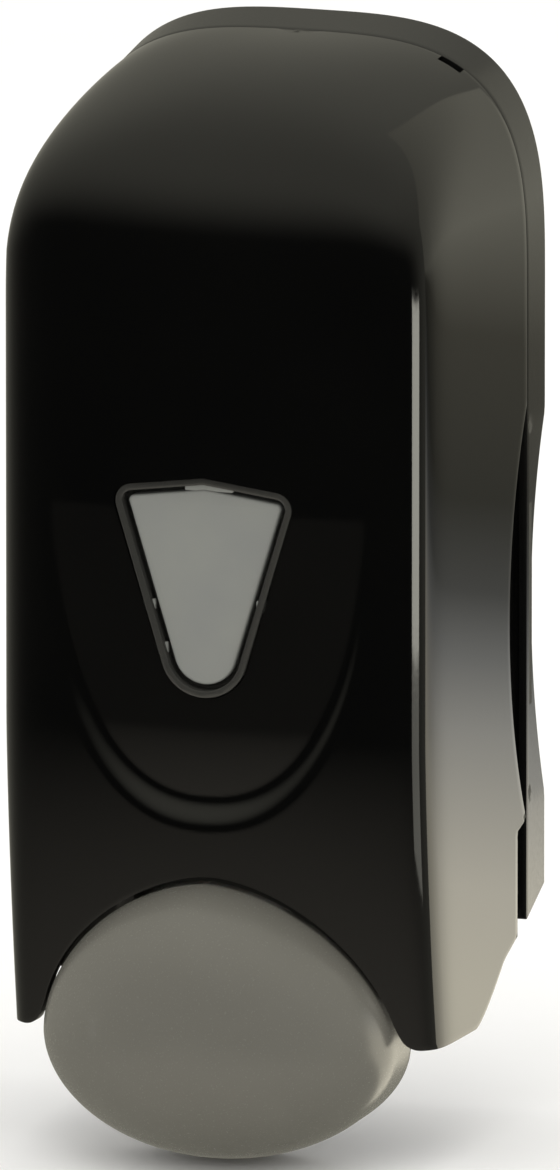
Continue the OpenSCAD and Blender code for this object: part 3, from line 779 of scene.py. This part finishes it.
@dataclass
class Cover:
    """The glossy cover with its window frame, pin lugs and hinge stubs."""

    form: BodyForm
    window: WindowOutline
    materials: Materials
    wall: float = 2.5
    edge_round: float = 0.7
    side_columns: int = 26
    edge_columns: int = 16
    front_columns: int = 62
    rows: int = 172
    frame_grow: float = 7.0
    frame_back: float = 90.5
    pin_y: float = 78.0
    pin_z: float = 84.0
    lug_x: float = 30.0
    lug_t: float = 4.0
    lug_r: float = 5.5
    hinge_y: float = 27.0
    hinge_z: float = 58.0
    hinge_r: float = 2.5
    notch_x: float = 41.0
    notch: Pair = (6.0, 3.5)
    straight: float = 0.74
    near: float = 0.9
    crown_start: float = 0.22
    front_y: float = 60.0
    web_in: float = 8.5
    stub_l: float = 4.5

    def _direction(self, share: float, z: float) -> float:
        """Direction of a column, spread evenly along the sides and front and closer at the edges.

        Args:
            share: from 0 at the right back edge to 1 at the left one.
            z: height in millimetres.

        Returns:
            The direction in radians.
        """
        half = min(share, 1 - share) * 2
        total = self.side_columns + self.edge_columns + self.front_columns
        k = half * total
        deep = max(1.0, self.form.front_depth(z) - self.form.seam_y)
        start = clamp((self.form.back_edge(z) - self.form.seam_y) / deep, 0, 0.6)
        if k <= self.side_columns:
            angle = math.atan(start + (self.near - start) * k / self.side_columns)
        elif k <= self.side_columns + self.edge_columns:
            t = (k - self.side_columns) / self.edge_columns
            first = math.atan(self.near)
            angle = first + (math.pi / 2 - 2 * first) * t
        else:
            t = (k - self.side_columns - self.edge_columns) / self.front_columns
            angle = math.pi / 2 - math.atan(self.near * (1 - t))
        return angle if share <= 0.5 else math.pi - angle

    def _sheet_point(self, u: float, v: float) -> Vector:
        """Point of the cover's outside for two shares of its sheet."""
        form = self.form
        first = form.cover_point(self._direction(u, form.tip_z + 12), form.tip_z + 12)
        low = form.edge_z(-first[1])
        if -first[1] > self.front_y:
            low = max(low, form.arch_z(first[0]))
        if v <= self.straight:
            z = low + (form.crown_z - low) * v / self.straight
        else:
            turn = (v - self.straight) / (1 - self.straight) * math.pi / 2
            z = form.crown_z + (form.seam_top - form.crown_z) * self._crown(turn)
        x, y, z = form.cover_point(self._direction(u, z), z)
        if -y > self.front_y:
            y += form.scoop_depth(x, z)
        return form.placed((x, y, z))

    def _crown(self, turn: float) -> float:
        """Share of the crown's height for a turn of a quarter circle, closer together at the top."""
        start = self.crown_start
        s = math.sin(start + (math.pi / 2 - start) * turn / (math.pi / 2))
        low = math.sin(start) ** (2 / self.form.crown_power)
        rise = s ** (2 / self.form.crown_power)
        return clamp((rise - low) / (1 - low))

    def _shell(self) -> Obj:
        """The outer shell with its wall, its rounded edges and the window's hole."""
        columns = 2 * (self.side_columns + self.edge_columns + self.front_columns)
        bm = mapped_grid(columns, self.rows, self._sheet_point)
        close_up(bm)
        face_front(bm)
        obj = finish_mesh("cover_shell", bm)
        thicken(obj, self.wall)
        bake(obj)
        soften(obj, self.edge_round, segments=3, limit_deg=60)
        bake(obj)
        form = self.form
        notch = box(
            form,
            (self.notch_x - self.notch[0] / 2, -form.seam_y - self.notch[1], form.seam_top - 20),
            (self.notch_x + self.notch[0] / 2, -form.seam_y + 2, form.total_h + 5),
            bevel=0,
        )
        carve(obj, self.window.prism(form, 0.0, form.body_d + 10, 60.0), notch)
        reshade(obj, 40)
        return obj

    def _window_frame(self) -> Obj:
        """Flat-backed frame behind the window's hole."""
        form = self.form
        frame = self.window.prism(form, self.frame_grow, form.body_d - 4.6, self.frame_back)
        carve(frame, self.window.prism(form, 0.0, form.body_d + 10, 60.0))
        reshade(frame)
        return frame

    def build(self) -> Obj:
        """Make the cover and dress it.

        Returns:
            The cover's object, riding on its body.
        """
        form = self.form
        shell = self._shell()
        extras = [self._window_frame()]
        inner = form.half_w - self.wall
        for side in (1, -1):
            start = self.lug_x if side > 0 else -self.lug_x - self.lug_t
            lug = rod(form, (start, -self.pin_y, self.pin_z), self.lug_r, self.lug_t, Axis.X)
            web = box(
                form,
                (start, -form.body_d + self.web_in, self.pin_z - self.lug_r),
                (start + self.lug_t, -self.pin_y, self.pin_z + self.lug_r),
            )
            stub_x = inner - self.stub_l if side > 0 else -inner
            middle = (stub_x, -self.hinge_y, self.hinge_z)
            stub = rod(form, middle, self.hinge_r, self.stub_l, Axis.X, bevel=0.5)
            extras += [lug, web, stub]
        merge(shell, extras)
        shell.name = "cover_shell"
        self.materials.dress(shell, GLOSS_BLACK.name)
        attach(shell, "cover")
        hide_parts("cover")
        return shell


@dataclass
class Window:
    """The lens: a frosted pane, a groove bridged by tabs, and a raised clear rim."""

    form: BodyForm
    outline: WindowOutline
    materials: Materials
    pane_grow: float = -3.6
    groove_grow: float = -2.2
    rim_grow: float = -0.35
    pane_y: float = 94.2
    rim_y: float = 95.4
    floor_y: float = 92.2
    back_y: float = 89.0
    tabs: tuple[tuple[float, float, float, float], ...] = (
        (1.0, 178.0, 13.0, 3.2),
        (-15.2, 146.0, 3.6, 3.0),
        (-11.8, 135.0, 3.6, 3.0),
        (15.4, 147.2, 3.6, 3.0),
    )

    def _ring(self, outer: float, inner: float, y_front: float, y_back: float) -> Obj:
        """A band between two grown outlines, with softened edges."""
        ring = self.outline.prism(self.form, outer, y_front, y_back)
        carve(ring, self.outline.prism(self.form, inner, y_front + 5, y_back - 5))
        soften(ring, 0.35)
        bake(ring)
        reshade(ring)
        return ring

    def build(self) -> list[Obj]:
        """Make the lens's pane and its rim, and dress them.

        Returns:
            The two pieces, riding on the cover.
        """
        form = self.form
        pane = self.outline.prism(form, self.pane_grow, self.pane_y, self.back_y)
        soften(pane, 0.8, segments=4)
        bake(pane)
        reshade(pane)
        pane.name = "lens_pane"
        self.materials.dress(pane, LENS_PANE.name)
        rim = self._ring(self.rim_grow, self.groove_grow, self.rim_y, self.floor_y - 2)
        base = self.outline.prism(form, self.rim_grow, self.floor_y - 1.5, self.back_y)
        carve(base, self.outline.prism(form, self.pane_grow + 0.2, self.floor_y + 5, self.back_y - 5))
        flange = self.outline.prism(form, 3.0, 90.4, self.back_y)
        merge(rim, [base, flange])
        rim.name = "lens_rim"
        self.materials.dress(rim, LENS_SMOKE.name)
        merge(pane, [self._tab(*place) for place in self.tabs])
        for piece in (pane, rim):
            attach(piece, "cover")
            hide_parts("window_lens")
        return [pane, rim]

    def _tab(self, x: float, z: float, width: float, height: float) -> Obj:
        """A bridge over the groove, about a middle point."""
        low = (x - width / 2, -self.pane_y + 0.5, z - height / 2)
        high = (x + width / 2, -self.floor_y, z + height / 2)
        return box(self.form, low, high, 0.3)


@dataclass
class PushButton:
    """The grey domed button, with the arms that hang from its pin and its stop flange."""

    form: BodyForm
    materials: Materials
    half_w: float = 46.8
    gap: float = 1.2
    bulge: float = 31.0
    wall: float = 2.2
    skirt_d: float = 13.0
    inset: float = 1.5
    columns: int = 128
    rings: int = 56
    pin_y: float = 78.0
    pin_z: float = 84.0
    arm_x: float = 22.0
    arm_t: float = 5.0
    arm_r: float = 5.0
    hollow_middle: Point = (0, -85, 36)
    hollow_share: float = 0.96
    skirt_share: float = 0.16
    flange_w: float = 3.0
    flange_t: float = 1.5
    flange_in: float = 1.0
    flange_start: float = 0.35
    flange_steps: int = 72

    def _outline(self, turn: float, share: float) -> Pair:
        """Point of the outline in one direction, shrunk to a share."""
        form = self.form
        c, n = math.cos(turn), math.sin(turn)
        power = 2 / form.arch_power if n > 0 else 1.0
        up = form.arch_top_z - self.gap - form.tip_z
        reach = up * n**power if n > 0 else form.tip_z * n
        x = share * self.half_w * math.copysign(abs(c) ** power, c)
        return x, form.tip_z + share * reach

    def _hollow(self) -> Obj:
        """Closed solid that fills the button to the middle of its wall."""
        bm = mapped_grid(self.columns // 2, self.rings // 2, self._point)
        close_up(bm)
        fill_holes(bm)
        face_out(bm)
        middle = self.form.placed(self.hollow_middle)
        shift(bm, -middle)
        stretch(bm, (self.hollow_share,) * 3)
        shift(bm, middle)
        return finish_mesh("hollow", bm)

    def _point(self, u: float, v: float) -> Vector:
        """Point of the button's outside: skirt first, then the dome up to its nose."""
        form = self.form
        skirt_share = self.skirt_share
        turn = 2 * math.pi * u
        if v < skirt_share:
            x, z = self._outline(turn, 1.0)
            back = self.skirt_d * (1 - v / skirt_share)
            return form.placed((x, form.face_y(x, z) + self.inset + back, z))
        b = (v - skirt_share) / (1 - skirt_share) * math.pi / 2
        x, z = self._outline(turn, math.cos(b))
        return form.placed((x, form.face_y(x, z) + self.inset - self.bulge * math.sin(b), z))

    def _stop_flange(self) -> Obj:
        """Flange on the skirt's back edge that stops the button behind the cover's front."""
        form = self.form
        bm = bmesh.new()
        rings = []
        for k in range(self.flange_steps + 1):
            turn = self.flange_start + (math.pi - 2 * self.flange_start) * k / self.flange_steps
            x, z = self._outline(turn, 1.0)
            ahead, behind = self._outline(turn + 0.01, 1.0), self._outline(turn - 0.01, 1.0)
            way = Vector((ahead[1] - behind[1], behind[0] - ahead[0])).normalized()
            back = form.face_y(x, z) + self.inset + self.skirt_d
            ring = []
            wide, thick = (-self.flange_in, self.flange_w), self.flange_t
            for reach, rise in ((wide[0], 0), (wide[1], 0), (wide[1], thick), (wide[0], thick)):
                spot = form.placed((x + way.x * reach, back - rise, z + way.y * reach))
                ring.append(bm.verts.new(spot))
            rings.append(ring)
        for first, second in zip(rings, rings[1:]):
            for n in range(4):
                bm.faces.new((first[n], first[(n + 1) % 4], second[(n + 1) % 4], second[n]))
        bm.faces.new(rings[0])
        bm.faces.new(rings[-1])
        face_out(bm)
        return finish_mesh("button_flange", bm)

    def build(self) -> Obj:
        """Make the button and dress it.

        Returns:
            The button's object, riding on its body.
        """
        form = self.form
        bm = mapped_grid(self.columns, self.rings, self._point)
        close_up(bm)
        face_front(bm)
        dome = finish_mesh("button_dome", bm)
        thicken(dome, self.wall)
        bake(dome)
        soften(dome, 0.5, limit_deg=60)
        bake(dome)
        reshade(dome, 45)
        extras = []
        for side in (1, -1):
            x = self.arm_x if side > 0 else -self.arm_x - self.arm_t
            extras.append(rod(form, (x, -self.pin_y, self.pin_z), self.arm_r, self.arm_t, Axis.X))
            extras.append(
                box(form, (x, -self.pin_y - 7, 58.0), (x + self.arm_t, -self.pin_y + 5, self.pin_z), 0.5)
            )
            rib = box(form, (x, -self.pin_y - 24, 48.0), (x + self.arm_t, -self.pin_y - 3, 68.0), 0)
            keep(rib, self._hollow())
            extras.append(rib)
        extras.append(self._stop_flange())
        merge(dome, extras)
        self.materials.dress(dome, BUTTON_GREY.name)
        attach(dome, "button")
        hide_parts("push_button")
        return dome


@dataclass
class BackPlate:
    """The plate on the wall with its rim, cheeks, screw holes and bolt guides."""

    form: BodyForm
    materials: Materials
    wall: float = 2.5
    plate_t: float = 3.0
    columns: int = 320
    scoop_d: float = 3.6
    scoop_r: float = 350.0
    cheek_outer: float = 57.09
    cheek_t: float = 2.0
    cheek_front: float = 36.0
    cheek_low: float = 53.0
    cheek_high: float = 200.0
    screw_x: float = 30.0
    screw_z: float = 50.0
    screw_r: float = 2.5
    pocket_x: Pair = (35.7, 50.3)
    pocket_z: Pair = (119.7, 210.3)
    foot_x: Pair = (54.2, 58.4)
    foot_z: Pair = (77.0, 189.0)
    guide_x: Pair = (8.0, 24.0)
    guide_t: float = 5.0
    guide_walls: tuple[tuple[Pair, Pair], ...] = (
        ((-10.0, 265.5), (-2.0, 274.5)),
        ((-20.0, 265.5), (-17.6, 274.5)),
        ((-18.0, 265.5), (-9.0, 267.9)),
        ((-18.0, 273.1), (-9.0, 274.5)),
    )

    def _outline(self, turn: float, depth: float, inset: float) -> Pair:
        """Point of the outline at one depth.

        Args:
            turn: share of the way round, from the right bottom corner up and over.
            depth: distance from the wall in millimetres.
            inset: how much smaller than the outside.

        Returns:
            x and height in millimetres.
        """
        form = self.form
        top = form.total_h - form.top_fall * depth / form.rim_d
        low = form.edge_z(depth) + inset
        side_share, bottom_share = 0.22, 0.12
        arch_share = 1 - 2 * side_share - bottom_share
        half = form.half_w - inset
        if turn < side_share:
            return half, low + (form.crown_z - low) * turn / side_share
        if turn < side_share + arch_share:
            a = (turn - side_share) / arch_share * math.pi
            c, s = math.cos(a), math.sin(a)
            p = 2 / form.crown_power
            rise = top - inset - form.crown_z
            return half * math.copysign(abs(c) ** p, c), form.crown_z + rise * max(0.0, s) ** p
        if turn < 1 - bottom_share:
            t = (turn - side_share - arch_share) / side_share
            return -half, form.crown_z + (low - form.crown_z) * t
        t = (turn - 1 + bottom_share) / bottom_share
        return -half + 2 * half * t, low

    def _profile(self) -> list[Pair]:
        """Depth and inset along the rim's section, from the wall round its lip to the floor."""
        form = self.form
        outside = [(d, 0.0) for d in (0.0, 2.0, 5.0, 9.0, 12.6, 13.2, form.rim_d - 0.4)]
        deep, wall = form.rim_d, self.wall
        lip = [(deep - 0.1, 0.1), (deep, 0.5), (deep, wall - 0.4), (deep - 0.4, wall)]
        return [*outside, *lip, (self.plate_t + 4, self.wall), (self.plate_t, self.wall + 0.2)]

    def _point(self, u: float, v: float) -> Vector:
        """Point of the rim's surface for two shares."""
        form = self.form
        profile = self._profile()
        depth, inset = profile[round(v * (len(profile) - 1))]
        x, z = self._outline(u, depth, inset)
        if inset == 0.0:
            dz = abs(z - form.scallop_z)
            scoop = max(0.0, self.scoop_d - self.scoop_r + math.sqrt(max(0.0, self.scoop_r**2 - dz**2)))
            fade = 1 - smooth((depth - 12.6) / 0.6)
            if abs(x) > form.half_w - 1:
                x -= math.copysign(scoop * fade, x)
        return form.placed((x, -depth, z))

    def build(self) -> Obj:
        """Make the back plate and dress it.

        Returns:
            The back plate's object, riding on the housing.
        """
        form = self.form
        bm = mapped_grid(self.columns, len(self._profile()) - 1, self._point)
        close_up(bm)
        fill_holes(bm)
        face_out(bm)
        plate = finish_mesh("back_plate_shell", bm, 30)
        back, deep = -self.plate_t - 2, self.plate_t + 4
        holes = [
            rod(form, (x, back, form.origin_h + z), self.screw_r, deep, Axis.Y, bevel=0)
            for x in (self.screw_x, -self.screw_x)
            for z in (self.screw_z, -self.screw_z)
        ]
        pockets = twin_boxes(form, self.pocket_x, (-1.0, self.pocket_z[0]), (2.0, self.pocket_z[1]), 0)
        carve(plate, *holes, *pockets)
        reshade(plate, 30)
        cheek = (self.cheek_outer - self.cheek_t, self.cheek_outer)
        cheek_end = (-2.0, self.cheek_high)
        extras = twin_boxes(form, cheek, (-self.cheek_front, self.cheek_low), cheek_end, 0.6)
        extras += twin_boxes(form, self.foot_x, (-13.0, self.foot_z[0]), (-2.0, self.foot_z[1]), 0.6)
        for x in self.guide_x:
            for low, high in self.guide_walls:
                extras.append(box(form, (x, *low), (x + self.guide_t, *high), 0.4))
        merge(plate, extras)
        self.materials.dress(plate, PLATE_BLACK.name)
        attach(plate, "housing")
        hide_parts("back_plate")
        return plate


# ---- Studio


@dataclass
class Studio:
    """Camera, lights, pale floor and the cards that the gloss reflects."""

    form: BodyForm
    materials: Materials
    azimuth_deg: float = 18.0
    elevation_deg: float = 12.0
    frame_h_mm: float = 299.4
    aim_right_mm: float = -9.9
    aim_up_mm: float = 130.2
    lens_mm: float = 1200.0
    sensor_mm: float = 36.0
    strip_turn: float = math.radians(66)
    strip_far: float = 0.55
    strip_wide: float = 0.26
    strips: tuple[Point, ...] = ((-0.15, -0.04, 6.0), (-0.3, -0.15, 1.6))

    def camera(self) -> None:
        """Set up the camera on a long lens, to the right of and above the object."""
        a, e = math.radians(self.azimuth_deg), math.radians(self.elevation_deg)
        look = Vector((-math.sin(a) * math.cos(e), math.cos(a) * math.cos(e), -math.sin(e)))
        right = Vector((math.cos(a), math.sin(a), 0))
        up = right.cross(look)
        distance = self.frame_h_mm * self.lens_mm / self.sensor_mm
        middle = Vector((0, -50, 140)).dot(look)
        spot = right * self.aim_right_mm + up * self.aim_up_mm + look * (middle - distance)
        data = bpy.data.cameras.new("camera")
        data.lens = self.lens_mm
        data.sensor_fit = "VERTICAL"
        data.sensor_height = self.sensor_mm
        data.clip_end = 50
        camera = bpy.data.objects.new("camera", data)
        camera.location = self.form.placed(spot)
        camera.rotation_euler = look.to_track_quat("-Z", "Y").to_euler()
        bpy.context.scene.collection.objects.link(camera)
        bpy.context.scene.camera = camera

    def _lamp(
        self, name: str, place: Point, aim: Point, size: Pair, power: float, tint: str
    ) -> Obj:
        """Hang a soft box that points at a place, all in metres."""
        data = bpy.data.lights.new(name, "AREA")
        data.shape = "RECTANGLE"
        data.size, data.size_y = size
        data.energy = power
        data.color = linear(tint)[:3]
        lamp = bpy.data.objects.new(name, data)
        lamp.location = place
        lamp.rotation_euler = (Vector(aim) - Vector(place)).to_track_quat("-Z", "Y").to_euler()
        lamp.visible_camera = False
        bpy.context.scene.collection.objects.link(lamp)
        return lamp

    def lights(self) -> None:
        """Light the set from above, with strips for the cover's edge and a spot for the button."""
        top = self._lamp("top_box", (0.1, -0.3, 1.3), (0, 0, 0), (1.2, 1.2), 4.0, "#FFFEFA")
        top.visible_glossy = False
        corner = Vector((0.058, -0.09, 0))
        way = Vector((math.sin(self.strip_turn), -math.cos(self.strip_turn), 0))
        for low, high, glow in self.strips:
            place = corner + way * self.strip_far + Vector((0, 0, (low + high) / 2))
            size = (self.strip_wide, high - low)
            power = glow * math.pi * size[0] * size[1]
            aim = (corner.x, corner.y, place.z)
            strip = self._lamp("edge_strip", place, aim, size, power, "#FFFDF0")
            strip.visible_diffuse = False
            self._light_only(strip, "cover_shell")
        place, aim = (-0.95, -0.35, -0.3), (0, -0.1, -0.1)
        spot = self._lamp("far_window", place, aim, (0.06, 0.2), 0.22, "#FFFDF6")
        spot.visible_diffuse = False
        self._light_only(spot, "button_dome")

    def _light_only(self, lamp: Obj, name: str) -> None:
        """Let a lamp light one object alone.

        Args:
            lamp: the lamp.
            name: the name of the object that it lights.
        """
        receivers = bpy.data.collections.new(f"{lamp.name}_receivers")
        receivers.objects.link(bpy.data.objects[name])
        lamp.light_linking.receiver_collection = receivers

    def world(self) -> None:
        """White behind the object, an even white for diffuse light, and a dim room for reflections.

        The room is dark before the object, and grey to its sides, behind it,
        overhead and steeply below, which makes polished black plastic read as polished.
        """
        world = bpy.data.worlds.new("studio")
        world.use_nodes = True
        tree = world.node_tree
        tree.nodes.clear()
        ray = add_node(tree, "ShaderNodeTexCoord").outputs["Generated"]
        way = add_node(tree, "ShaderNodeSeparateXYZ", {0: ray})
        rise = eased(tree, way.outputs["Z"], 0.12, 0.95)
        turn = eased(tree, way.outputs["Y"], -0.75, 0.3)
        fall = eased(tree, way.outputs["Z"], -0.55, -0.24)
        front = mixed(tree, fall, linear("#B0AA9E"), linear("#040404"))
        low = mixed(tree, turn, front, linear("#9A988C"))
        room = mixed(tree, rise, low, linear("#C2C0B2"))
        path = add_node(tree, "ShaderNodeLightPath")
        gloss = add_node(tree, "ShaderNodeBackground", {"Color": room, "Strength": 1.0})
        even, white = (
            add_node(tree, "ShaderNodeBackground", {"Color": (1, 1, 1, 1), "Strength": strength})
            for strength in (1.12, 1.0)
        )
        pick = even
        for ray, seen in (("Is Glossy Ray", gloss), ("Is Camera Ray", white)):
            ways = {0: path.outputs[ray], 1: pick.outputs[0], 2: seen.outputs[0]}
            pick = add_node(tree, "ShaderNodeMixShader", ways)
        output = add_node(tree, "ShaderNodeOutputWorld")
        tree.links.new(pick.outputs[0], output.inputs["Surface"])
        bpy.context.scene.world = world
        bpy.context.scene.view_settings.view_transform = "Standard"

    def card(self) -> None:
        """Stand a reflector behind the right side, pale at its foot and fading to dark at its top.

        Only reflections see it. The right side mirrors it as a slow change from dark to pale.
        """
        bm = bmesh.new()
        bmesh.ops.create_grid(bm, x_segments=1, y_segments=1, size=0.5)
        bmesh.ops.rotate(bm, verts=bm.verts, matrix=Matrix.Rotation(math.pi / 2, 3, "X"))
        stretch(bm, (0.5, 1.0, 0.62))
        shift(bm, (0.33, 0.09, 0.02))
        card = finish_mesh("side_card", bm)
        material = bpy.data.materials.new("lit_card")
        material.use_nodes = True
        tree = material.node_tree
        tree.nodes.clear()
        place = add_node(tree, "ShaderNodeTexCoord").outputs["Object"]
        height = add_node(tree, "ShaderNodeSeparateXYZ", {0: place}).outputs["Z"]
        span = {"Value": height, "From Min": -0.16, "From Max": 0.06}
        share = add_node(tree, "ShaderNodeMapRange", span)
        tone = add_node(tree, "ShaderNodeValToRGB", {"Fac": share.outputs[0]})
        stops = (
            (0.0, "#FFF8E2"),
            (0.13, "#F4EEDC"),
            (0.32, "#C0BEB6"),
            (0.41, "#93938F"),
            (0.49, "#62625E"),
            (0.6, "#484740"),
            (0.8, "#55534A"),
            (1.0, "#8C8A7E"),
        )
        ramp = tone.color_ramp
        while len(ramp.elements) < len(stops):
            ramp.elements.new(0.5)
        for element, (at, colour) in zip(ramp.elements, stops):
            element.position = at
            element.color = linear(colour)
        glow = add_node(tree, "ShaderNodeEmission", {"Color": tone.outputs[0], "Strength": 2.4})
        output = add_node(tree, "ShaderNodeOutputMaterial")
        tree.links.new(glow.outputs[0], output.inputs["Surface"])
        card.data.materials.append(material)
        card.visible_camera = False
        card.visible_diffuse = False
        card.visible_shadow = False
        card.visible_transmission = False
        card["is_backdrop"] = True

    def floor(self, lowest: float) -> None:
        """Lay the wide pale floor just under the object. Reflections do not see it."""
        bm = bmesh.new()
        bmesh.ops.create_grid(bm, x_segments=1, y_segments=1, size=1.0)
        stretch(bm, (4.0, 4.0, 1.0))
        shift(bm, (0, 0, lowest - 0.001))
        floor = finish_mesh("floor", bm)
        self.materials.dress(floor, PAPER.name)
        floor.visible_glossy = False
        floor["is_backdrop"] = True


# ---- Everything together


CAD_FINISHES: dict[Finish, tuple[str, ...]] = {
    FOAM_TAPE: ("wall_pads",),
    PLATE_BLACK: ("lens_retainer",),
    STEEL: (
        *("retainer_screws", "button_pin", "button_spring", "fork_screws"),
        *("shelf_screws", "inlet_ball", "pump_spring"),
    ),
    ACETAL: ("lift_fork", "pump_piston", "lock_bolt"),
    WHITE_PP: (
        *("pump_shelf", "filler_neck", "filler_cap", "pump_nut"),
        *("pump_cylinder", "pump_stem", "nozzle_tip"),
    ),
    MILKY: ("bottle",),
    RUBBER: ("cap_seal", "pump_gasket", "piston_seal"),
    NYLON: ("foam_mesh",),
}


def main() -> None:
    """Load the frame, build every piece around it and set up the studio."""
    logging.basicConfig(level=logging.INFO, format="%(name)s: %(message)s")
    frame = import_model()
    packed = [list(corner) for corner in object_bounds()]
    form = BodyForm()
    window = WindowOutline()
    materials = Materials()
    studio = Studio(form, materials)
    studio.camera()
    for builder in (
        Cover(form, window, materials),
        Window(form, window, materials),
        PushButton(form, materials),
        BackPlate(form, materials),
    ):
        made = builder.build()
        for piece in made if isinstance(made, list) else [made]:
            triangles = sum(len(face.vertices) - 2 for face in piece.data.polygons)
            log.info("%s: %d triangles", piece.name, triangles)
    for finish, nodes in CAD_FINISHES.items():
        for node in nodes:
            materials.dress(frame["nodes"][node], finish.name)
            log.info("%s: %s", node, finish.name)
    studio.lights()
    studio.world()
    studio.card()
    studio.floor(packed[0][2])


if __name__ == "__main__":
    main()
